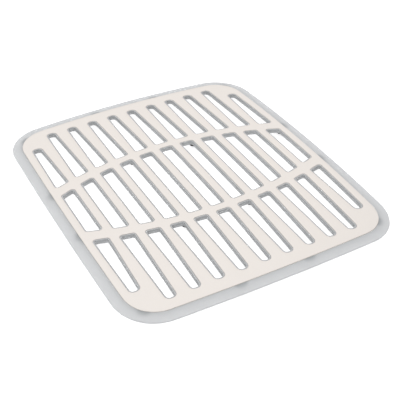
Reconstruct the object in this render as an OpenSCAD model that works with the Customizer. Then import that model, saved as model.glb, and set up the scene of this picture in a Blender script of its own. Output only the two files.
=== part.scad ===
// Slotted drain grate: a crowned top plate let into a frosted base frame that stands on snap-in rubber feet.
// The base's linings come up through the plate's openings and leave a thin frosted rim round every slot.
// The origin is on the floor under the middle of the grate. +X runs along a row of slots, from left to right,
// +Y runs along the slots, from front to rear, and +Z is up.

/* [Plate] */
// Width of the top plate at its middle
plate_w = 252.8; // [215:0.2:305]
// Length of the top plate at its middle
plate_l = 298; // [250:1:360]
// Thickness of the top plate
plate_t = 2; // [1.6:0.1:3]
// Radius of the plate's corners
corner_r = 29.8; // [20:1:40]
// Radius of the outward bow of the left and right edges
side_bow_r = 3580; // [2000:100:8000]
// Radius of the outward bow of the front and rear edges
end_bow_r = 1633; // [1200:50:6000]
// Radius of the crown of the top surface, which is part of a sphere
crown_r = 3140; // [2600:20:3300]

/* [Slots] */
// Width of a slot between its walls
slot_w = 12; // [9:0.2:13.6]
// Width of an outer slot at its narrow tip
tip_w = 7.4; // [5:0.2:9]
// Radius of the slots' corners
slot_corner_r = 1.6; // [0.8:0.1:2.4]
// Thickness of the base's lining, which comes up through the plate's opening round each slot
lining_t = 1.5; // [1:0.1:1.8]
// Half length of the middle slot, from the plate's centre to the crossbar
crossbar_near = 51.5; // [46:0.5:53]
// Width of a crossbar at the middle column, linings included
crossbar_w = 10.1; // [8.6:0.5:14]
// Radius of the crossbar's edge on the side of the plate's centre
near_bow_r = 313; // [300:5:500]
// Radius of the crossbar's edge on the far side
far_bow_r = 398; // [360:5:600]
// Rim between the outer slots' tips and the plate's front and rear edges, at the middle
end_rim = 14.1; // [13:0.5:20]
// Rim between the last slots' walls and the plate's left and right edges, at the middle
side_rim = 8.4; // [7.6:0.1:12]
// How much the last slot of an outer row is shorter, to clear the plate's corner
last_slot_cut = 20.2; // [16:1:30]

/* [Base] */
// Thickness of the base frame under the plate
base_t = 2.8; // [2.6:0.1:5]
// How far the flange stands out from the plate all round
flange_w = 10.1; // [7.5:0.1:14]
// Thickness of the flange
flange_t = 1.9; // [1.5:0.1:2.8]
// How far the flange's top lies under the plate's top
flange_step = 0.8; // [0.4:0.1:1.4]
// Width of the base's rim, which stands round the plate's edge
rim_w = 1.2; // [0.8:0.1:2]
// How far the tops of the rim and the linings lie under the plate's top
rim_step = 0.4; // [0.2:0.1:0.8]

/* [Feet] */
// Diameter of a foot's pad
pad_d = 11; // [8:0.2:12]
// How far a foot stands out from the base
pad_h = 3; // [1.6:0.1:5]
// How far a foot's snap ring stands out round it
snap_lip = 0.6; // [0.3:0.1:0.8]
// Height of a foot's snap ring
snap_h = 0.7; // [0.4:0.1:0.8]
// Thickness of the base over a foot's pocket
pocket_roof = 1.2; // [1:0.1:1.4]
// Thickness of the boss's wall round the groove for the snap ring
boss_wall = 0.6; // [0.4:0.1:1]
// Distance from the plate's edge to the centre of a foot on the rim
foot_inset = 1; // [0.6:0.1:4.2]

/* [Fits] */
// Thickness of the bond between the plate and the base
bond_t = 0.1; // [0.05:0.05:0.3]
// Clearance round a foot, its snap ring, a lining, the plate's edge and the plate's pegs
fit_gap = 0.05; // [0.02:0.01:0.15]
// Diameter of a peg on the plate's underside
peg_d = 3; // [2:0.2:4]
// Length of a peg below the plate's underside
peg_l = 1.4; // [1:0.1:2]

/* [Hidden] */
columns = 11;
last = (columns - 1) / 2;
half_w = plate_w / 2;
half_l = plate_l / 2;
pitch = (half_w - side_rim - slot_w / 2) / last;    // from one slot's centreline to the next
snap_d = pad_d + 2 * snap_lip;
boss_d = snap_d + 2 * boss_wall;
tip_y = half_l - end_rim;
arc_steps = 4;      // straight steps in a slot's corner
edge_steps = 12;    // straight steps in each bow or corner of a quarter of an outline
boss_drop = 0.3;    // a boss stands this far out of the base's curved underside
boss_rise = 1;      // from the roof of a boss's pocket up to the boss's top, inside the base and the flange
snap_drop = 0.5;    // from the top of a foot down to its snap ring
peg_room = 0.4;     // space left under a peg
side_peg_inset = 3.5;
end_peg_inset = 6.5;
sink = 0.5;         // how far one solid reaches into another that it is joined to

// Centre of the corner's arc, which touches both bowed edges from inside.
corner_c = meet(half_w - side_bow_r, side_bow_r - corner_r, half_l - end_bow_r, end_bow_r - corner_r);
// Places of the feet: in the plate's corner, between two columns of slots, and under a crossbar.
corner_foot = corner_c + (corner_r - foot_inset) * [cos(45), sin(45)];
between = 1.5 * pitch;
crossbar_y = (near_y(between) + far_y(between)) / 2;
crossbar_end = (near_y(half_w - foot_inset) + far_y(half_w - foot_inset)) / 2;

// The corner feet set the height of the base, and the crown lifts everything else from there.
base_under = pad_h + boss_drop + fall(corner_foot);
base_top = base_under + base_t;
plate_top = base_top + bond_t + plate_t;

// How far the crowned surface has fallen at a place, measured from the middle.
function fall(p) = crown_r - sqrt(crown_r ^ 2 - p.x ^ 2 - p.y ^ 2);

// Distance across a circle's bow: how far an arc of radius r has come in at the distance x from its middle.
function bow(r, x) = r - sqrt(r ^ 2 - x ^ 2);

// Points along an arc, in n equal steps.
function arc(c, r, from, to, n) = [
    for (i = [0:n]) let (a = from + (to - from) * i / n) c + r * [cos(a), sin(a)]];

// Where two circles meet, on the side of larger x and y: the first is centred on the x axis, the second on y.
function meet(cx, r1, cy, r2) = let (
        d = norm([cx, cy]),
        a = (r1 ^ 2 - r2 ^ 2 + d ^ 2) / (2 * d),
        h = sqrt(r1 ^ 2 - a ^ 2))
    [cx, 0] + a / d * [-cx, cy] + h / d * [-cy, -cx];

// A quarter of the outline grown outward by g, from the middle of the right edge to the middle of the rear.
function quarter(g) = let (
        side_c = [half_w - side_bow_r, 0],
        end_c = [0, half_l - end_bow_r],
        a = atan2(corner_c.y, corner_c.x - side_c.x),
        b = atan2(corner_c.y - end_c.y, corner_c.x))
    concat(arc(side_c, side_bow_r + g, 0, a, edge_steps),
        arc(corner_c, corner_r + g, a + (b - a) / edge_steps, b, edge_steps - 1),
        arc(end_c, end_bow_r + g, b + (90 - b) / edge_steps, 90, edge_steps - 1));

function reversed(l) = [for (i = [len(l) - 1:-1:0]) l[i]];
function mirrored(l, sx, sy) = [for (p = l) [sx * p.x, sy * p.y]];

module outline(g = 0) {
    q = quarter(g);
    polygon(concat(q, mirrored(reversed(q), -1, 1), mirrored(q, -1, -1), mirrored(reversed(q), 1, -1)));
}

// A corner of radius r at b, between the lines to a and to c, grown outward by g, as a list of points.
function fillet(a, b, c, r, g) = let (
        u = (a - b) / norm(a - b),
        v = (c - b) / norm(c - b),
        half = acos(u * v) / 2,
        middle = b + r / sin(half) * (u + v) / norm(u + v),
        t1 = b + r / tan(half) * u - middle,
        t2 = b + r / tan(half) * v - middle,
        from = atan2(t1.y, t1.x),
        turn = atan2(t1.x * t2.y - t1.y * t2.x, t1 * t2))
    arc(middle, r + g, from, from + turn, arc_steps);

// A polygon whose corners are rounded, each with its own radius, grown outward by g.
module rounded(points, radii, g) {
    n = len(points);
    polygon([for (i = [0:n - 1])
        each fillet(points[(i + n - 1) % n], points[i], points[(i + 1) % n], radii[i], g)]);
}

function near_y(x) = crossbar_near - bow(near_bow_r, x);
function far_y(x) = crossbar_near + crossbar_w - bow(far_bow_r, x);

module middle_slot(x, g) {
    l = x - slot_w / 2;
    r = x + slot_w / 2;
    corners = [[l, -near_y(l)], [r, -near_y(r)], [r, near_y(r)], [l, near_y(l)]];
    rounded(corners, [for (c = corners) slot_corner_r], g);
}

module outer_slot(x, tip, g) {
    l = x - slot_w / 2;
    r = x + slot_w / 2;
    tip_r = tip_w * 0.42;
    rounded([[l, far_y(l)], [r, far_y(r)], [x + tip_w / 2, tip], [x - tip_w / 2, tip]],
        [slot_corner_r, slot_corner_r, tip_r, tip_r], g);
}

// All the slots, each grown outward by g.
module slots(g = 0) {
    for (i = [-last:last]) {
        tip = tip_y - (abs(i) == last ? last_slot_cut : 0);
        middle_slot(i * pitch, g);
        for (side = [0, 1]) mirror([0, side]) outer_slot(i * pitch, tip, g);
    }
}

// Everything under the crowned surface whose middle is at height z.
module crown(z) translate([0, 0, z - crown_r]) rotate([90, 0, 0]) sphere(r = crown_r, $fn = 256);

// A crowned sheet of the given outline, whose top is at height z in the middle.
module sheet(z, t) difference() {
    intersection() {
        linear_extrude(height = z + 1) children();
        crown(z);
    }
    crown(z - t);
}

// Feet stand in 4 rows of 4: number 0 to 3 from left to right and from front to rear.
function side_of(i) = i < 2 ? -1 : 1;
function is_edge(i) = i == 0 || i == 3;
function foot_place(col, row) = let (
        side = is_edge(col),
        end = is_edge(row),
        x = side && end ? corner_foot.x : side ? half_w - foot_inset : between,
        y = side && end ? corner_foot.y : end ? half_l - foot_inset : side ? crossbar_end : crossbar_y)
    [side_of(col) * x, side_of(row) * y];

// Height of the flat lower face of a boss, and of the flat roof of the pocket in it.
function boss_z(p) = base_under - fall(p) - boss_drop;
function roof_z(p) = base_top - fall(p) - pocket_roof;

// A foot from the height low to its pocket's roof, with its snap ring, both grown all round by gap.
module foot_shape(p, low, gap) translate([p.x, p.y, 0]) {
    translate([0, 0, low]) cylinder(d = pad_d + 2 * gap, h = roof_z(p) - low, $fn = 64);
    translate([0, 0, roof_z(p) - snap_drop - snap_h - gap])
        cylinder(d = snap_d + 2 * gap, h = snap_h + 2 * gap, $fn = 64);
}

// The feet are all alike. Those at the corners stand on the floor, and the rest come down to it under load.
module foot(col, row) color([0.05, 0.05, 0.055]) {
    p = foot_place(col, row);
    foot_shape(p, boss_z(p) - pad_h, 0);
}

// Pegs stand where the bars meet the crossbars, and along the plate's rim.
function crossbar_peg(x) = [x, (near_y(x) + far_y(x)) / 2];
pegs = concat(
    [for (i = [2.5, 3.5]) crossbar_peg(i * pitch)],
    [for (i = [0.5, 2.5, 3.5]) [i * pitch, half_l - end_peg_inset]],
    [[half_w - side_peg_inset, 0], [half_w - side_peg_inset, 4 * pitch]]);

module at_pegs() for (sx = [-1, 1], sy = [-1, 1], p = pegs)
    if (p.y > 0 || sy > 0) translate([sx * p.x, sy * p.y, base_top - fall(p)]) children();

module top_plate() color([0.93, 0.91, 0.89]) {
    sheet(plate_top, plate_t) difference() {
        outline();
        slots(lining_t);
    }
    at_pegs() translate([0, 0, -peg_l]) cylinder(d = peg_d, h = peg_l + sink, $fn = 32);
}

// The space that the plate lies in: inside the base's rim, down to its top, and around its linings.
module bed() difference() {
    linear_extrude(height = plate_top + 1) difference() {
        outline(fit_gap);
        slots(lining_t - fit_gap);
    }
    crown(base_top);
}

module base_frame() color([0.8, 0.81, 0.83]) difference() {
    union() {
        sheet(plate_top - rim_step, plate_top - rim_step - base_under) difference() {
            outline(rim_w);
            slots();
        }
        sheet(plate_top - flange_step, flange_t) difference() {
            outline(flange_w);
            outline(rim_w / 2);
        }
        for (row = [0:3], col = [0:3]) let (p = foot_place(col, row))
            translate([p.x, p.y, boss_z(p)]) cylinder(d = boss_d, h = roof_z(p) + boss_rise - boss_z(p), $fn = 64);
    }
    bed();
    for (row = [0:3], col = [0:3]) let (p = foot_place(col, row)) foot_shape(p, boss_z(p) - sink, fit_gap);
    at_pegs() translate([0, 0, -peg_l - peg_room])
        cylinder(d = peg_d + 2 * fit_gap, h = peg_l + peg_room + sink, $fn = 32);
}

top_plate();
base_frame();
foot(0, 0);  // foot_front_left
foot(1, 0);  // foot_front_mid_left
foot(2, 0);  // foot_front_mid_right
foot(3, 0);  // foot_front_right
foot(0, 1);  // foot_mid_front_left
foot(1, 1);  // foot_mid_front_mid_left
foot(2, 1);  // foot_mid_front_mid_right
foot(3, 1);  // foot_mid_front_right
foot(0, 2);  // foot_mid_rear_left
foot(1, 2);  // foot_mid_rear_mid_left
foot(2, 2);  // foot_mid_rear_mid_right
foot(3, 2);  // foot_mid_rear_right
foot(0, 3);  // foot_rear_left
foot(1, 3);  // foot_rear_mid_left
foot(2, 3);  // foot_rear_mid_right
foot(3, 3);  // foot_rear_right
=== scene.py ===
# %% [markdown]
# # A slotted drain grate
#
# The grate is three kinds of piece. A warm off-white plate is on top, with three rows of slots. Under it
# lies a frosted, see-through base frame that shows in the slots' walls and stands out round the plate as a
# soft flange. Sixteen black rubber feet are pushed into the base. This lesson rebuilds the visible skins of
# those pieces round a fixed CAD frame, then gives each one its finish.

# %% Load the CAD frame
import math

import bpy
import numpy as np
from mathutils import Matrix, Vector


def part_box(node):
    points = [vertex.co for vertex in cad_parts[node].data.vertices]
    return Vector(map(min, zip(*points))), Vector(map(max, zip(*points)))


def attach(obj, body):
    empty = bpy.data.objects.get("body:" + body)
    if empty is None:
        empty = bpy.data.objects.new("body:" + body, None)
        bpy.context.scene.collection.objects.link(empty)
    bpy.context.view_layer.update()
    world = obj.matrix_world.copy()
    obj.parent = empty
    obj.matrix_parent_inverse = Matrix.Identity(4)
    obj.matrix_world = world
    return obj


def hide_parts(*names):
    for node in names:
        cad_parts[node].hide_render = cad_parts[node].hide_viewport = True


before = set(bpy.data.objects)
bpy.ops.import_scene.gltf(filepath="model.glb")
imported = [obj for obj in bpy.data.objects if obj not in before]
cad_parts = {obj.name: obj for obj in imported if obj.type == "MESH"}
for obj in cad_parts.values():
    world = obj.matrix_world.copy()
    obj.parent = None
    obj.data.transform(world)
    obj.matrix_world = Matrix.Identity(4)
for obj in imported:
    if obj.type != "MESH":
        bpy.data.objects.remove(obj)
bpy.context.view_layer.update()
plate_low, plate_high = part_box("top_plate")
base_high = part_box("base_frame")[1]
foot_nodes = sorted(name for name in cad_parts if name.startswith("foot_"))
print("plate box", tuple(plate_low), tuple(plate_high), "and", len(foot_nodes), "feet")

# %% [markdown]
# ## The camera
#
# The grate is seen from its front left corner, from well above, through a long lens. A long lens keeps the
# rows of slots nearly parallel, as a catalogue view does. The camera is placed by two angles and a distance
# from the middle of the plate's top, so that every number in it can be read as a move of a tripod.

# %% Place the camera
MM = 0.001
azimuth, elevation = math.radians(-28.8), math.radians(37.57)
camera_distance = 782.9 * MM
across, above = 9.0 * MM, -25.0 * MM
focal_length = 74.43

back = Vector((math.sin(azimuth) * math.cos(elevation), -math.cos(azimuth) * math.cos(elevation),
               math.sin(elevation)))
right = (-back).cross(Vector((0, 0, 1))).normalized()
up = back.cross(right)
top_middle = Vector((0, 0, plate_high.z))

camera = bpy.data.objects.new("camera", bpy.data.cameras.new("camera"))
camera.data.lens = focal_length
camera.data.sensor_width = 36
camera.data.clip_start = 0.01
camera.matrix_world = Matrix.Translation(top_middle + back * camera_distance + right * across + up * above) @ \
    Matrix((right, up, back)).transposed().to_4x4()
bpy.context.scene.collection.objects.link(camera)
bpy.context.scene.camera = camera
print("camera at", tuple(round(v, 3) for v in camera.matrix_world.translation))

# %% [markdown]
# ## The floor and the lights
#
# A catalogue floor is plain and pale, and wide, so that its end lies far off. It lies a hair under the feet's
# soles, because two surfaces in one plane flicker. It also glows a little, and more to the camera than to the
# grate, so it can come out nearly white while it throws only a little light up at the grate. Three large soft
# lights stand round the grate: one above and behind it, which keeps the flat top bright, and two weaker ones
# in front and at the left, which leave the slots' walls in a soft grey. Big lights are chosen because small
# ones would put hard shadows under so thin an object.


# %% Build the floor and the lights
def build_mesh(name, vertices, faces, smooth=True):
    """Puts vertices and faces into a new object. A four-sided face that lost a side becomes a triangle."""
    first, last = faces[:, 0] == faces[:, 1], faces[:, 2] == faces[:, 3]
    whole = faces[~first & ~last].tolist() + faces[first][:, [0, 2, 3]].tolist() + faces[last][:, :3].tolist()
    mesh = bpy.data.meshes.new(name)
    mesh.from_pydata(vertices.tolist(), [], whole)
    mesh.polygons.foreach_set("use_smooth", np.full(len(mesh.polygons), smooth))
    mesh.update()
    piece = bpy.data.objects.new(name, mesh)
    bpy.context.scene.collection.objects.link(piece)
    return piece


floor_half, floor_top = 25.0, -0.02 * MM
floor_glow, extra_glow_seen = 0.2, 0.6
corners = np.array([[-1, -1], [1, -1], [1, 1], [-1, 1]]) * floor_half
floor = build_mesh("floor", np.column_stack([corners, np.full(4, floor_top)]), np.array([[0, 1, 2, 3]]),
                   smooth=False)
floor_finish = bpy.data.materials.new("pale_floor")
floor_finish.use_nodes = True
floor_shader = floor_finish.node_tree.nodes["Principled BSDF"]
floor_shader.inputs["Base Color"].default_value = (0.8, 0.8, 0.8, 1)
floor_shader.inputs["Roughness"].default_value = 0.9
floor_shader.inputs["Emission Color"].default_value = (1, 1, 1, 1)
seen = floor_finish.node_tree.nodes.new("ShaderNodeLightPath")
glow = floor_finish.node_tree.nodes.new("ShaderNodeMath")
glow.operation = "MULTIPLY_ADD"
glow.inputs[1].default_value = extra_glow_seen
glow.inputs[2].default_value = floor_glow
floor_finish.node_tree.links.new(seen.outputs["Is Camera Ray"], glow.inputs[0])
floor_finish.node_tree.links.new(glow.outputs[0], floor_shader.inputs["Emission Strength"])
floor.data.materials.append(floor_finish)


def add_light(name, place, size, watts, color):
    """A square area light at a place, in metres, that faces the middle of the grate. Its power is in watts."""
    data = bpy.data.lights.new(name, "AREA")
    data.shape = "SQUARE"
    data.size = size
    data.energy = watts
    data.color = color
    light = bpy.data.objects.new(name, data)
    light.location = place
    light.rotation_euler = (Vector(place)).to_track_quat("Z", "Y").to_euler()
    bpy.context.scene.collection.objects.link(light)


add_light("overhead", (0.3, 1.0, 2.3), 2.2, 36, (1.0, 0.985, 0.975))
add_light("left_fill", (-1.6, -0.3, 0.9), 1.2, 4.5, (0.98, 0.99, 1.0))
add_light("front_fill", (0.2, -1.7, 0.8), 1.2, 2.8, (0.98, 0.99, 1.0))

world = bpy.data.worlds.new("studio")
world.use_nodes = True
world.node_tree.nodes["Background"].inputs["Color"].default_value = (0.98, 0.99, 1.0, 1)
world.node_tree.nodes["Background"].inputs["Strength"].default_value = 0.52
bpy.context.scene.world = world
bpy.context.scene.view_settings.view_transform = "Standard"
print("floor and", len(bpy.data.lights), "lights")

# %% [markdown]
# ## The crown
#
# The plate isn't flat. It is a shallow part of a large sphere, so water runs off to the edges and the plate
# springs back under a foot. Every skin below is drawn flat first, and one function then lowers each point by
# how far the sphere has fallen there.

# %% Work out the crown
half_w = plate_high.x
half_l = plate_high.y
crown_radius = 3140 * MM
plate_thickness = 2.0 * MM
bond = 0.1 * MM
base_thickness = 2.8 * MM
plate_top = plate_high.z
bed, underside = plate_thickness + bond, plate_thickness + bond + base_thickness


def fall(x, y):
    """The sphere's radius less the root of radius squared less x squared less y squared."""
    return crown_radius - np.sqrt(crown_radius**2 - x**2 - y**2)


print("the crown falls", round(1000 * float(fall(half_w, 0)), 2), "mm at the sides and",
      round(1000 * float(fall(0, half_l)), 2), "mm at the ends")

# %% [markdown]
# ## The outline
#
# The plate's edge is four slightly bowed sides joined by round corners. A quarter of it is enough, because
# the grate is the same left to right and front to rear. The quarter is kept as a dense list of points with
# their outward directions, so a place on the edge, or any distance in or out from it, can be looked up by
# its length along the edge.

# %% Draw a quarter of the outline
corner_radius = 29.8 * MM
side_bow, end_bow = 3580 * MM, 1633 * MM


def circles_meet(cx, r1, cy, r2):
    """Where a circle round (cx, 0) meets one round (0, cy), on the side of larger x and y."""
    d = math.hypot(cx, cy)
    a = (r1**2 - r2**2 + d**2) / (2 * d)
    h = math.sqrt(r1**2 - a**2)
    return np.array([cx - a / d * cx - h / d * cy, a / d * cy - h / d * cx])


def arc_points(centre, radius, start, stop, count):
    """Points on a circle from one angle to another, and their directions away from its centre."""
    angle = np.linspace(start, stop, count)
    away = np.column_stack([np.cos(angle), np.sin(angle)])
    return centre + radius * away, away


side_centre = np.array([half_w - side_bow, 0])
end_centre = np.array([0, half_l - end_bow])
corner_centre = circles_meet(side_centre[0], side_bow - corner_radius, end_centre[1], end_bow - corner_radius)
side_turn = math.atan2(corner_centre[1], corner_centre[0] - side_centre[0])
end_turn = math.atan2(corner_centre[1] - end_centre[1], corner_centre[0])
EDGE_STEPS = 400
stretches = [arc_points(side_centre, side_bow, 0, side_turn, EDGE_STEPS),
             arc_points(corner_centre, corner_radius, side_turn, end_turn, EDGE_STEPS),
             arc_points(end_centre, end_bow, end_turn, math.pi / 2, EDGE_STEPS)]
quarter = np.vstack([points for points, away in stretches])
quarter_out = np.vstack([away for points, away in stretches])
quarter_s = np.concatenate([[0], np.cumsum(np.linalg.norm(np.diff(quarter, axis=0), axis=1))])
print("a quarter of the edge is", round(1000 * quarter_s[-1], 1), "mm long")


def on_edge(s, out=0.0):
    """The point at length s along the quarter, moved outward by the distance out, for whole arrays of s."""
    place = np.column_stack([np.interp(s, quarter_s, quarter[:, i]) for i in (0, 1)])
    away = np.column_stack([np.interp(s, quarter_s, quarter_out[:, i]) for i in (0, 1)])
    return place + out * away / np.linalg.norm(away, axis=1, keepdims=True)


def s_at_x(x, out):
    """The length along the quarter at which the edge moved by out has that x."""
    xs = (quarter + out * quarter_out)[:, 0]
    return float(np.interp(x, xs[::-1], quarter_s[::-1]))


def s_at_y(y, out):
    """The length along the quarter at which the edge moved by out has that y."""
    return float(np.interp(y, (quarter + out * quarter_out)[:, 1], quarter_s))


# %% [markdown]
# ## The slots
#
# There are eleven columns and three rows. The middle slots are straight, and their ends follow the
# crossbars, which bow away from the centre. The outer slots narrow to a round tip, and the last one in a row
# is shorter, to clear the plate's corner. Each slot is four corner points with a radius at each, so one
# function can round them all.

# %% Lay out the slots
last_column = 5
slot_w, tip_w, slot_corner, lining = 12.0 * MM, 7.4 * MM, 1.6 * MM, 1.5 * MM
side_rim, end_rim, last_cut = 8.4 * MM, 14.1 * MM, 20.2 * MM
pitch = (half_w - side_rim - slot_w / 2) / last_column
crossbar_near, crossbar_w = 51.5 * MM, 10.1 * MM
near_bow, far_bow = 313 * MM, 398 * MM


def near_y(x):
    """The crossbar's edge towards the centre: its middle height less the bow of a circle."""
    return crossbar_near - (near_bow - np.sqrt(near_bow**2 - x**2))


def far_y(x):
    """The crossbar's far edge, a flatter circle."""
    return crossbar_near + crossbar_w - (far_bow - np.sqrt(far_bow**2 - x**2))


def slot_corners(column, row):
    """Four corner points, anticlockwise from the lower left, and their radii, for row 0 or row 1."""
    x = column * pitch
    left, right_x = x - slot_w / 2, x + slot_w / 2
    if row == 0:
        points = [(left, -near_y(left)), (right_x, -near_y(right_x)), (right_x, near_y(right_x)),
                  (left, near_y(left))]
        return np.array(points), np.full(4, slot_corner)
    tip = half_l - end_rim - (last_cut if column == last_column else 0)
    points = [(left, far_y(left)), (right_x, far_y(right_x)), (x + tip_w / 2, tip), (x - tip_w / 2, tip)]
    return np.array(points), np.array([slot_corner, slot_corner, 0.42 * tip_w, 0.42 * tip_w])


print("slot spacing", round(1000 * pitch, 2), "mm, bars", round(1000 * (pitch - slot_w), 2), "mm wide")

# %% [markdown]
# ## A slot and the cell round it
#
# A plate with holes is awkward to fill with faces. Here it is cut into 33 cells with one slot in each, along
# the middles of the bars and crossbars. A cell is then a ring: the slot's outline inside, the cell's border
# outside, and straight lines between them. Both loops are split into four sides with the same number of
# steps, so the ring is a plain grid, and neighbours share the points on their common border.

# %% Sample a slot and its cell
ARC_STEPS, LINE_STEPS = 5, 14
SIDE_STEPS = 2 * ARC_STEPS + LINE_STEPS


def slot_loop(points, radii):
    """The slot's outline and its outward directions. Each side is half a corner, a line and half a corner."""
    before, after = np.roll(points, 1, axis=0) - points, np.roll(points, -1, axis=0) - points
    u = before / np.linalg.norm(before, axis=1, keepdims=True)
    v = after / np.linalg.norm(after, axis=1, keepdims=True)
    half = np.arccos((u * v).sum(1)) / 2
    bisector = (u + v) / np.linalg.norm(u + v, axis=1, keepdims=True)
    centres = points + (radii / np.sin(half))[:, None] * bisector
    start = points + (radii / np.tan(half))[:, None] * u - centres
    first = np.arctan2(start[:, 1], start[:, 0])
    turn = math.pi - 2 * half
    share = np.linspace(0, 1, 2 * ARC_STEPS + 1)
    angle = first[:, None] + turn[:, None] * share
    away = np.stack([np.cos(angle), np.sin(angle)], axis=-1)
    arcs = centres[:, None] + radii[:, None, None] * away
    along = np.linspace(0, 1, LINE_STEPS + 1)[1:-1, None]
    ends = arcs[:, -1], np.roll(arcs, -1, axis=0)[:, 0]
    lines = ends[0][:, None] * (1 - along) + ends[1][:, None] * along
    straight = np.repeat(away[:, -1:], LINE_STEPS - 1, axis=1)
    loop = np.concatenate([arcs[:, ARC_STEPS:], lines, np.roll(arcs, -1, axis=0)[:, :ARC_STEPS]], axis=1)
    out = np.concatenate([away[:, ARC_STEPS:], straight, np.roll(away, -1, axis=0)[:, :ARC_STEPS]], axis=1)
    return loop.reshape(-1, 2), out.reshape(-1, 2)


def side_shares(end_share):
    """Places of a border side's points, from 0 to 1, closer together over each end's share of its length."""
    ends = np.linspace(0, end_share, ARC_STEPS + 1)
    middle = np.linspace(end_share, 1 - end_share, LINE_STEPS + 1)
    return np.concatenate([ends[:-1], middle[:-1], 1 - ends[::-1]])


LONG, SHORT = side_shares(0.05), side_shares(0.3)


def crossbar_side(x0, x1):
    """A border side along the crossbar's middle line, from x0 to x1."""
    x = x0 + (x1 - x0) * SHORT
    return np.column_stack([x, (near_y(x) + far_y(x)) / 2])


def bar_side(x, y0, y1):
    """A border side along the middle of a bar, from y0 to y1."""
    y = y0 + (y1 - y0) * LONG
    return np.column_stack([np.full_like(y, x), y])


def crossing(inset):
    """Where the crossbar's middle line meets the inset edge: a guess is put back into both curves in turn."""
    y = (near_y(half_w) + far_y(half_w)) / 2
    for _ in range(8):
        x = on_edge([s_at_y(y, -inset)], -inset)[0, 0]
        y = (near_y(x) + far_y(x)) / 2
    return x, y


def edge_stretches(inset):
    """For each border side that lies on the plate's edge, the lengths along the quarter of its points."""
    cross_s = s_at_y(crossing(inset)[1], -inset)
    corner_s = quarter_s[len(quarter_s) // 2]
    columns = [s_at_x((k + 0.5) * pitch, -inset) for k in range(last_column)]
    reach = {"side": cross_s * (2 * LONG - 1), "corner_side": cross_s + (corner_s - cross_s) * LONG,
             "corner_end": corner_s + (columns[-1] - corner_s) * SHORT}
    for k in range(1, last_column):
        reach[k] = columns[k] + (columns[k - 1] - columns[k]) * SHORT
    reach[0] = columns[0] + 2 * (quarter_s[-1] - columns[0]) * SHORT
    return reach


def mirrored_edge(s, inset):
    """Points at lengths that may run past either end of the quarter, where the edge mirrors itself."""
    low, high = s < 0, s > quarter_s[-1]
    inside = np.where(low, -s, np.where(high, 2 * quarter_s[-1] - s, s))
    sign = np.column_stack([np.where(high, -1, 1), np.where(low, -1, 1)])
    return on_edge(inside, -inset) * sign


def cell_border(column, row, inset):
    """The cell's four sides, anticlockwise from its lower left corner, each without its last point."""
    x0, x1 = (column - 0.5) * pitch, (column + 0.5) * pitch
    reach = edge_stretches(inset)
    cross_x, cross_y = crossing(inset)
    outer = column == last_column
    if outer:
        x1 = cross_x
    crossbar = crossbar_side(x0, x1)
    if row == 0:
        lower, upper = crossbar * (1, -1), crossbar[::-1]
        rising = bar_side(x1, lower[-1, 1], upper[0, 1])
        falling = bar_side(x0, upper[-1, 1], lower[0, 1])
    else:
        lower, upper = crossbar, mirrored_edge(reach["corner_end" if outer else column], inset)
        rising = bar_side(x1, lower[-1, 1], upper[0, 1])
        falling = bar_side(x0, upper[-1, 1], lower[0, 1])
    if outer:
        rising = mirrored_edge(reach["corner_side" if row else "side"], inset)
    return np.vstack([side[:-1] for side in (lower, rising, upper, falling)])


loop_points, loop_out = slot_loop(*slot_corners(0, 0))
print("a slot's loop has", len(loop_points), "points and its cell's border", len(cell_border(0, 0, 0)))

# %% [markdown]
# ## From cells to a sheet
#
# The ring is now carried down through the thickness. Its cross-section starts at the cell's border, runs over
# the flat to the slot's edge, down the wall, and back under the sheet to the border. Each sheet has its own
# cross-section, written as rows of a distance from the slot's wall and a depth below the plate's top. Rounded
# edges are real geometry here and not a shading trick, so they catch the light from every side.

# %% Build a slotted sheet
FLAT_ROWS, ROUND_ROWS = 3, 5


def rounding(distance, depth, radius, lower=False):
    """A quarter circle from a flat face into a wall at the distance. A lower one turns from wall to flat."""
    turn = np.linspace(0, math.pi / 2, ROUND_ROWS + 1)
    if lower:
        return np.column_stack([distance + radius * (1 - np.cos(turn)), depth - radius * (1 - np.sin(turn))])
    return np.column_stack([distance + radius * (1 - np.sin(turn)), depth + radius * (1 - np.cos(turn))])


def ring_rows(edge):
    """Adds to an edge's (distance, depth) rows the two flats that lead to the border, as rows with a share."""
    flat = np.linspace(1, 0, FLAT_ROWS + 1)[:-1]
    over, under = edge[0], edge[-1]
    return np.vstack([np.column_stack([flat, 0 * flat + over[0], 0 * flat + over[1]]),
                      np.column_stack([0 * edge[:, 0], edge]),
                      np.column_stack([flat[::-1], 0 * flat + under[0], 0 * flat + under[1]])])


def grid_faces(rows, columns, closed):
    """Four-sided faces of a grid of rows by columns, whose columns may close into a ring."""
    r, c = np.meshgrid(np.arange(rows - 1), np.arange(columns if closed else columns - 1), indexing="ij")
    a, b = r * columns + c, r * columns + (c + 1) % columns
    return np.stack([a, b, b + columns, a + columns], axis=-1).reshape(-1, 4)


def cell_sheet(column, row, section, inset):
    """One cell's surface: border and slot mixed by each row's share, lowered by its depth and the crown."""
    loop, out = slot_loop(*slot_corners(column, row))
    border = cell_border(column, row, inset)
    share, distance, depth = (section[:, i, None, None] for i in range(3))
    flat = share * border + (1 - share) * (loop + distance * out)
    height = plate_top - depth[..., 0] - fall(flat[..., 0], flat[..., 1])
    points = np.concatenate([flat, height[..., None]], axis=-1)
    return points.reshape(-1, 3), grid_faces(len(section), len(loop), closed=True)


def mirror_piece(points, faces, sx, sy):
    """A mirrored copy, whose faces are turned round so that they still point outwards."""
    return points * (sx, sy, 1), faces[:, ::-1] if sx * sy < 0 else faces


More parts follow.
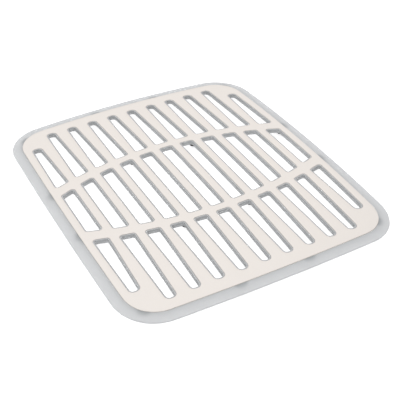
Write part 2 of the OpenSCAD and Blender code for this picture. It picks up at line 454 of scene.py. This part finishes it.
def edge_strip(profile, inset):
    """A profile of (distance outward, depth) rows carried once round the whole edge."""
    reach = edge_stretches(inset)
    half_side = reach["side"][SIDE_STEPS // 2:]
    half_end = reach[0][:SIDE_STEPS // 2 + 1]
    s = np.concatenate([part[:-1] for part in (
        half_side, reach["corner_side"], reach["corner_end"],
        *[reach[k] for k in range(last_column - 1, 0, -1)])] + [half_end])
    rows = []
    for out, depth in profile:
        q = on_edge(s, out)
        loop = np.vstack([q[:-1], (q * (-1, 1))[::-1][:-1], (q * (-1, -1))[:-1], (q * (1, -1))[::-1][:-1]])
        height = plate_top - depth - fall(loop[:, 0], loop[:, 1])
        rows.append(np.column_stack([loop, height]))
    return np.vstack(rows), grid_faces(len(rows), len(rows[0]), closed=True)[:, ::-1]


def weld(parts):
    """Joins parts into one mesh and merges points that lie within a ten-thousandth of a millimetre."""
    starts = np.cumsum([0] + [len(points) for points, faces in parts[:-1]])
    points = np.vstack([points for points, faces in parts])
    faces = np.vstack([faces + start for (_, faces), start in zip(parts, starts)])
    _, first, merged = np.unique(np.round(points / 1e-7).astype(np.int64), axis=0, return_index=True,
                                 return_inverse=True)
    return points[first], merged.reshape(-1)[faces]


def slotted_sheet(name, edge, inset, profile):
    """A whole sheet: the cells of one quarter, their mirror images, and the strip round the edge."""
    parts, section = [], ring_rows(edge)
    for column in range(last_column + 1):
        for row in (0, 1):
            points, faces = cell_sheet(column, row, section, inset)
            for sx in ((1, -1) if column else (1,)):
                for sy in ((1, -1) if row else (1,)):
                    parts.append(mirror_piece(points, faces, sx, sy))
    parts.append(edge_strip(profile, inset))
    piece = build_mesh(name, *weld(parts))
    print(name, "has", len(piece.data.vertices), "points and", len(piece.data.polygons), "faces")
    return piece


# %% [markdown]
# ## The top plate
#
# The plate is 2 mm of hard plastic. Its openings are wider than the slots, because the base's lining comes up
# inside each one, and its edges are only lightly rounded.

# %% Make the top plate
edge_round, lower_round = 0.35 * MM, 0.1 * MM
plate_edge = np.vstack([rounding(lining, 0, edge_round),
                        rounding(lining, plate_thickness, lower_round, lower=True)])
rim_profile = np.vstack([rounding(0, 0, edge_round) * (-1, 1),
                         [[0, plate_thickness - lower_round], [-lower_round, plate_thickness],
                          [-edge_round, plate_thickness]]])
plate = slotted_sheet("plate_skin", plate_edge, edge_round, rim_profile)

# %% [markdown]
# ## The base frame
#
# The base is a thicker, frosted sheet. A lining rises from it round every slot, nearly to the plate's top, and
# so does a rim round the plate's outer edge, which carries on outwards as a flange. The flange slopes down
# and thins to a round lip, so that it can bend to the floor's shape. All of it is two cross-sections: one
# for a slot, and one for the outer edge.

# %% Make the base frame
flange_w, rim_w, rim_step = base_high.x - plate_high.x, 1.2 * MM, 0.4 * MM
lip, lip_middle, gap = 0.6 * MM, 2.1 * MM, 0.05 * MM
base_edge = np.vstack([
    [[lining + 0.2 * MM, bed], [lining - gap, bed], [lining - gap, bed - 0.2 * MM],
     [lining - gap, rim_step + 0.15 * MM], [lining - 0.15 * MM, rim_step]],
    rounding(0, rim_step, 0.25 * MM), rounding(0, underside, 0.5 * MM, lower=True)])


def flange_profile():
    """Up the recess beside the plate, down the flange's slope, round its lip, and back along the underside."""
    turn = np.linspace(0, math.pi, 2 * ROUND_ROWS + 1)
    nose = np.column_stack([flange_w - lip + lip * np.sin(turn), lip_middle - lip * np.cos(turn)])
    share = np.linspace(0, 1, 10)[:-1, None]
    slope = np.array([[0.4 * MM, rim_step]]) * (1 - share) + nose[:1] * share
    wall = [[-edge_round, bed], [0, bed], [gap, bed - 0.1 * MM], [gap, rim_step + 0.3 * MM],
            [0.15 * MM, rim_step + 0.08 * MM]]
    under = [[flange_w / 2, 2.72 * MM], [rim_w + 1.2 * MM, 2.8 * MM], [rim_w + 0.3 * MM, 3.1 * MM],
             [rim_w, 3.6 * MM], [rim_w, underside - 0.5 * MM], [rim_w - 0.5 * MM, underside],
             [-edge_round, underside]]
    return np.vstack([wall, slope, nose, under])


base = slotted_sheet("base_skin", base_edge, edge_round, flange_profile())

# %% [markdown]
# ## Thick and thin
#
# Where the base stands up beside the plate it is thick, and lets less light through than the thin flange. A
# number at each point says how much painted shade stands in for that there. It is stored as an attribute of
# the mesh, and the finish reads it later to darken the base's colour. It is one at the tops of the rim and the
# linings. It fades over the first 1.1 mm down a lining's wall, and outwards over the flange by a factor of e
# in each 2.5 mm. A second number says how much painted shade stands in for a black foot showing from beneath.
# It is one over the foot's middle and nought from 8 mm away, and it fades outwards by a factor of e in each 4
# mm.
# Light that really passes through frosted rubber takes long to work out, and these two painted shades stand in
# for it. They stay put when the view changes, which real depth would not.


# %% Store how much painted shade the base gets
def beyond_edge(x, y):
    """How far outside the plate's edge a point lies: beyond the corner's circle, or the bowed sides'."""
    x, y = np.abs(x), np.abs(y)
    corner = np.hypot(x - corner_centre[0], y - corner_centre[1]) - corner_radius
    side = np.hypot(x - side_centre[0], y) - side_bow
    end = np.hypot(x, y - end_centre[1]) - end_bow
    return np.where((x > corner_centre[0]) & (y > corner_centre[1]), corner, np.maximum(side, end))


thick_shade_reach, thick_shade_depth, shade_reach = 2.5 * MM, 1.1 * MM, 4.0 * MM
shade_start, shade_full = 8.0 * MM, 3.0 * MM
points = np.empty(3 * len(base.data.vertices))
base.data.vertices.foreach_get("co", points)
x, y, z = points.reshape(-1, 3).T
out = beyond_edge(x, y)
below_rim = plate_top - fall(x, y) - z - rim_step
# Painted shade where the base is thick: one on the tops of the rim and linings, fading down the walls and out
# over the flange.
base_thick_shade = np.where(out > 0, np.exp(-np.maximum(out, 0) / thick_shade_reach), np.clip(1 - below_rim / thick_shade_depth, 0, 1))
# Painted shade over each foot: darkest over the foot's middle, standing in for the black foot seen through the
# frosted base.
foot_middles = [((low.x + high.x) / 2, (low.y + high.y) / 2) for low, high in map(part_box, foot_nodes)]
nearest = np.min([np.hypot(x - foot_x, y - foot_y) for foot_x, foot_y in foot_middles], axis=0)
share = np.clip((shade_start - nearest) / (shade_start - shade_full), 0, 1)
over_foot = share * share * (3 - 2 * share) * np.exp(-np.maximum(out, 0) / shade_reach)
over_foot[below_rim > lip_middle] = 0
for label, values in (("thick_part_shade", base_thick_shade), ("over_foot", over_foot)):
    base.data.attributes.new(label, "FLOAT", "POINT").data.foreach_set("value", values)
print("the base looks thick at", int((base_thick_shade > 0.5).sum()), "of its", len(base_thick_shade), "points")

# %% [markdown]
# ## The feet and their bosses
#
# A foot is turned: a plug with a rounded sole and a shallow hollow in the middle of it. A snap ring near its
# top holds it in a pocket in the base. The base has a round boss about each pocket. All the feet are alike,
# so under the crowned base only the four at the corners reach the floor. A turned shape is a profile carried
# round an axis, so one function makes all the feet and bosses, each at its own CAD node's place.

# %% Make the feet and bosses
AROUND = 56
foot_r, snap_lip, boss_wall, boss_drop = 5.5 * MM, 0.6 * MM, 0.6 * MM, 0.3 * MM
pocket_roof = 1.2 * MM


def foot_centre(node):
    """The middle of a foot in plan, from its CAD node's box, and the heights of its sole and its top."""
    low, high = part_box(node)
    return ((low.x + high.x) / 2, (low.y + high.y) / 2), low.z, high.z


def turned(profile, centre):
    """Carries (radius, height) rows round a vertical axis. Rows of radius nought close on the axis."""
    angle = np.linspace(0, 2 * math.pi, AROUND, endpoint=False)
    radius, height = profile[:, 0, None], profile[:, 1, None]
    ring = np.stack([centre[0] + radius * np.cos(angle), centre[1] + radius * np.sin(angle),
                     height + 0 * angle], axis=-1)
    return ring.reshape(-1, 3), grid_faces(len(profile), AROUND, closed=True)


def foot_profile(bottom, top):
    """The foot's outline from the middle of its sole to the middle of its top, in metres."""
    turn = np.linspace(0, math.pi / 2, 7)
    sole = [[0, bottom + 0.25 * MM], [1.6 * MM, bottom + 0.25 * MM], [2.0 * MM, bottom + 0.05 * MM],
            [2.3 * MM, bottom], [4.4 * MM, bottom]]
    rim = 0.4 * MM
    lower = np.column_stack([foot_r - rim + rim * np.sin(turn), bottom + rim * (1 - np.cos(turn))])
    snap = [[foot_r, top - 1.2 * MM], [foot_r + snap_lip, top - 1.0 * MM], [foot_r + snap_lip, top - 0.7 * MM],
            [foot_r, top - 0.5 * MM], [foot_r, top - 0.1 * MM], [foot_r - 0.1 * MM, top], [0, top]]
    return np.vstack([sole, lower, snap])


def boss_profile(top):
    """A ring's closed outline: in at the foot, over its rounded lower face, up its side and back inside."""
    inner, outer = foot_r + 0.05 * MM, foot_r + snap_lip + boss_wall
    low = top + pocket_roof - base_thickness - boss_drop
    high = top + 0.6 * MM
    face = [[inner, low + 0.15 * MM], [inner + 0.15 * MM, low], [outer - 0.3 * MM, low],
            [outer - 0.09 * MM, low + 0.09 * MM], [outer, low + 0.3 * MM]]
    return np.array([[inner, high], *face, [outer, high], [inner, high]])


feet, bosses = {}, []
for node in foot_nodes:
    centre, bottom, top = foot_centre(node)
    foot_skin = turned(foot_profile(bottom, top), centre)
    feet[node] = build_mesh(node.replace("foot", "rubber_foot"), *weld([foot_skin]))
    bosses.append(turned(boss_profile(top), centre))
boss_skin = build_mesh("foot_bosses", *weld(bosses))
print("made", len(feet), "feet and", len(bosses), "bosses")

# %% [markdown]
# ## Shared effects
#
# Moulded plastic, frosted rubber and black rubber all have a fine grain from the mould, and none of them is
# one even colour. Those two effects are node groups, so each finish can use them with its own numbers. The
# third group finds edges that stand out, which are where rubbing shows. A group is built once and placed in
# each finish, so a change to it reaches them all.


# %% Make the shared node groups
def new_group(name, inputs, outputs):
    """A shader node group with named sockets. Each socket is (name, type, default)."""
    group = bpy.data.node_groups.new(name, "ShaderNodeTree")
    for label, kind, value in inputs:
        socket = group.interface.new_socket(label, in_out="INPUT", socket_type=kind)
        if value is not None:
            socket.default_value = value
    for label, kind in outputs:
        group.interface.new_socket(label, in_out="OUTPUT", socket_type=kind)
    return group, group.nodes.new("NodeGroupInput"), group.nodes.new("NodeGroupOutput")


def put(tree, kind, **settings):
    """Adds a node and sets its properties."""
    node = tree.nodes.new(kind)
    for key, value in settings.items():
        setattr(node, key, value)
    return node


def maths(tree, operation, a, b):
    """A Math node whose inputs are numbers or other nodes' sockets."""
    node = put(tree, "ShaderNodeMath", operation=operation)
    for i, value in enumerate((a, b)):
        if isinstance(value, (int, float)):
            node.inputs[i].default_value = value
        else:
            tree.links.new(value, node.inputs[i])
    return node.outputs[0]


def make_grain_group():
    """Two sizes of noise added together: a fine grain, and a coarser unevenness a third as strong."""
    coarser, coarse_share = 0.12, 0.35
    tree, into, out = new_group(
        "mould_grain", [("Scale", "NodeSocketFloat", 900.0), ("Detail", "NodeSocketFloat", 3.0)],
        [("Height", "NodeSocketFloat"), ("Mask", "NodeSocketFloat")])
    place = put(tree, "ShaderNodeTexCoord")
    fine, coarse = put(tree, "ShaderNodeTexNoise"), put(tree, "ShaderNodeTexNoise")
    coarse_scale = maths(tree, "MULTIPLY", into.outputs["Scale"], coarser)
    for node, scale in ((fine, into.outputs["Scale"]), (coarse, coarse_scale)):
        tree.links.new(place.outputs["Object"], node.inputs["Vector"])
        tree.links.new(scale, node.inputs["Scale"])
        tree.links.new(into.outputs["Detail"], node.inputs["Detail"])
    height = maths(tree, "ADD", fine.outputs[0], maths(tree, "MULTIPLY", coarse.outputs[0], coarse_share))
    tree.links.new(height, out.inputs["Height"])
    tree.links.new(coarse.outputs[0], out.inputs["Mask"])
    return tree


def make_mottle_group():
    """Mixes a colour with a second one by a slow noise, so that the surface is never quite one shade."""
    tree, into, out = new_group(
        "colour_mottle",
        [("Color", "NodeSocketColor", (0.8, 0.8, 0.8, 1)), ("Second", "NodeSocketColor", (0.7, 0.7, 0.7, 1)),
         ("Scale", "NodeSocketFloat", 30.0), ("Amount", "NodeSocketFloat", 0.5)],
        [("Color", "NodeSocketColor")])
    place, noise = put(tree, "ShaderNodeTexCoord"), put(tree, "ShaderNodeTexNoise")
    noise.inputs["Detail"].default_value = 4
    tree.links.new(place.outputs["Object"], noise.inputs["Vector"])
    tree.links.new(into.outputs["Scale"], noise.inputs["Scale"])
    mix = put(tree, "ShaderNodeMix", data_type="RGBA")
    tree.links.new(maths(tree, "MULTIPLY", noise.outputs[0], into.outputs["Amount"]), mix.inputs["Factor"])
    tree.links.new(into.outputs["Color"], mix.inputs["A"])
    tree.links.new(into.outputs["Second"], mix.inputs["B"])
    tree.links.new(mix.outputs["Result"], out.inputs["Color"])
    return tree


def make_rub_group():
    """Edges that stand out, from how sharply the surface bends, broken up by noise into patches."""
    tree, into, out = new_group(
        "edge_rub", [("Start", "NodeSocketFloat", 0.52), ("End", "NodeSocketFloat", 0.6)],
        [("Mask", "NodeSocketFloat")])
    place, noise, bend = (put(tree, kind) for kind in ("ShaderNodeTexCoord", "ShaderNodeTexNoise",
                                                       "ShaderNodeNewGeometry"))
    noise.inputs["Scale"].default_value = 260
    tree.links.new(place.outputs["Object"], noise.inputs["Vector"])
    ramp = put(tree, "ShaderNodeMapRange")
    tree.links.new(bend.outputs["Pointiness"], ramp.inputs["Value"])
    tree.links.new(into.outputs["Start"], ramp.inputs["From Min"])
    tree.links.new(into.outputs["End"], ramp.inputs["From Max"])
    tree.links.new(maths(tree, "MULTIPLY", ramp.outputs[0], noise.outputs[0]), out.inputs["Mask"])
    return tree


grain_group, mottle_group, rub_group = make_grain_group(), make_mottle_group(), make_rub_group()
print("groups:", [group.name for group in bpy.data.node_groups])

# %% [markdown]
# ## The finishes
#
# The plate is a satin, warm off-white plastic. The base is an elastomer with a frosted surface: light gets
# through it, but scattered. The feet below show through it as soft dark shapes, which are painted shade in the
# base's colour, and so is the darker base beside the plate. The feet are dull black rubber, greyer where they
# rub.


# %% Start a finish
rough_spread, bump_strength = 0.06, 0.35


def new_finish(name, roughness, color, second, mottle, grain_scale, grain_depth):
    """A Principled material with the shared grain and mottle. Returns it with its tree, shader and grain."""
    finish = bpy.data.materials.new(name)
    finish.use_nodes = True
    tree = finish.node_tree
    shader = tree.nodes["Principled BSDF"]
    tones = put(tree, "ShaderNodeGroup", node_tree=mottle_group)
    tones.inputs["Color"].default_value = (*color, 1)
    tones.inputs["Second"].default_value = (*second, 1)
    tones.inputs["Scale"].default_value = mottle[0]
    tones.inputs["Amount"].default_value = mottle[1]
    grain = put(tree, "ShaderNodeGroup", node_tree=grain_group)
    grain.inputs["Scale"].default_value = grain_scale
    rough = put(tree, "ShaderNodeMapRange")
    rough.inputs["To Min"].default_value = roughness - rough_spread
    rough.inputs["To Max"].default_value = roughness + rough_spread
    bump = put(tree, "ShaderNodeBump")
    bump.inputs["Strength"].default_value = bump_strength
    bump.inputs["Distance"].default_value = grain_depth
    tree.links.new(tones.outputs["Color"], shader.inputs["Base Color"])
    tree.links.new(grain.outputs["Mask"], rough.inputs["Value"])
    tree.links.new(rough.outputs[0], shader.inputs["Roughness"])
    tree.links.new(grain.outputs["Height"], bump.inputs["Height"])
    tree.links.new(bump.outputs["Normal"], shader.inputs["Normal"])
    return finish, tree, shader, tones


def rub_color(tree, shader, tones, color, start, end, amount):
    """Lays a rubbed colour over the mottled one, where the shared edge mask says."""
    rub = put(tree, "ShaderNodeGroup", node_tree=rub_group)
    rub.inputs["Start"].default_value = start
    rub.inputs["End"].default_value = end
    mix = put(tree, "ShaderNodeMix", data_type="RGBA")
    tree.links.new(maths(tree, "MULTIPLY", rub.outputs["Mask"], amount), mix.inputs["Factor"])
    tree.links.new(tones.outputs["Color"], mix.inputs["A"])
    mix.inputs["B"].default_value = (*color, 1)
    tree.links.new(mix.outputs["Result"], shader.inputs["Base Color"])


# %% The plate's plastic
plate_finish, tree, shader, tones = new_finish(
    "warm_white_plastic", roughness=0.46, color=(0.84, 0.79, 0.745), second=(0.80, 0.745, 0.695),
    mottle=(40, 0.6), grain_scale=1400, grain_depth=0.06 * MM)
rub_color(tree, shader, tones, (0.9, 0.88, 0.86), start=0.53, end=0.62, amount=0.35)
shader.inputs["IOR"].default_value = 1.49
shader.inputs["Specular IOR Level"].default_value = 0.45
plate.data.materials.append(plate_finish)

# %% The base's frosted elastomer
base_finish, tree, shader, tones = new_finish(
    "frosted_elastomer", roughness=0.52, color=(0.83, 0.84, 0.85), second=(0.78, 0.79, 0.80),
    mottle=(60, 0.5), grain_scale=1100, grain_depth=0.08 * MM)
shader.inputs["IOR"].default_value = 1.42
shader.inputs["Transmission Weight"].default_value = 0.3
shaded = tones.outputs["Color"]
# Painted shade: the base's colour is darkened where the base is thick beside the plate and over each foot, in
# place of light passing through frosted rubber.
shades = [("thick_part_shade", 0.6, (0.52, 0.53, 0.535)), ("over_foot", 0.72, (0.36, 0.385, 0.40))]
for label, amount, shade_color in shades:
    number = put(tree, "ShaderNodeAttribute", attribute_name=label)
    shade = put(tree, "ShaderNodeMix", data_type="RGBA")
    tree.links.new(maths(tree, "MULTIPLY", number.outputs["Fac"], amount), shade.inputs["Factor"])
    tree.links.new(shaded, shade.inputs["A"])
    shade.inputs["B"].default_value = (*shade_color, 1)
    shaded = shade.outputs["Result"]
tree.links.new(shaded, shader.inputs["Base Color"])
for skin in (base, boss_skin):
    skin.data.materials.append(base_finish)

# %% The feet's rubber
foot_finish, tree, shader, tones = new_finish(
    "black_rubber", roughness=0.62, color=(0.012, 0.012, 0.013), second=(0.03, 0.03, 0.031),
    mottle=(160, 0.7), grain_scale=1600, grain_depth=0.08 * MM)
rub_color(tree, shader, tones, (0.05, 0.05, 0.05), start=0.55, end=0.7, amount=0.5)
for foot in feet.values():
    foot.data.materials.append(foot_finish)
print("finishes:", plate_finish.name, base_finish.name, foot_finish.name)

# %% [markdown]
# ## Joining the looks to the frame
#
# Nothing on the grate moves, so every piece rides on the one body. Each skin says which CAD node it stands
# for and which material slot it takes. The bosses belong to the base frame, whose node its own skin already
# stands for, so they only ride.

# %% Ride and replace
stand_ins = [(plate, "top_plate", "plate_plastic"), (base, "base_frame", "frosted_elastomer"),
             *[(foot, node, "foot_rubber") for node, foot in feet.items()]]
for piece, node, material_slot in stand_ins:
    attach(piece, "root")
    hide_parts(node)
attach(boss_skin, "root")
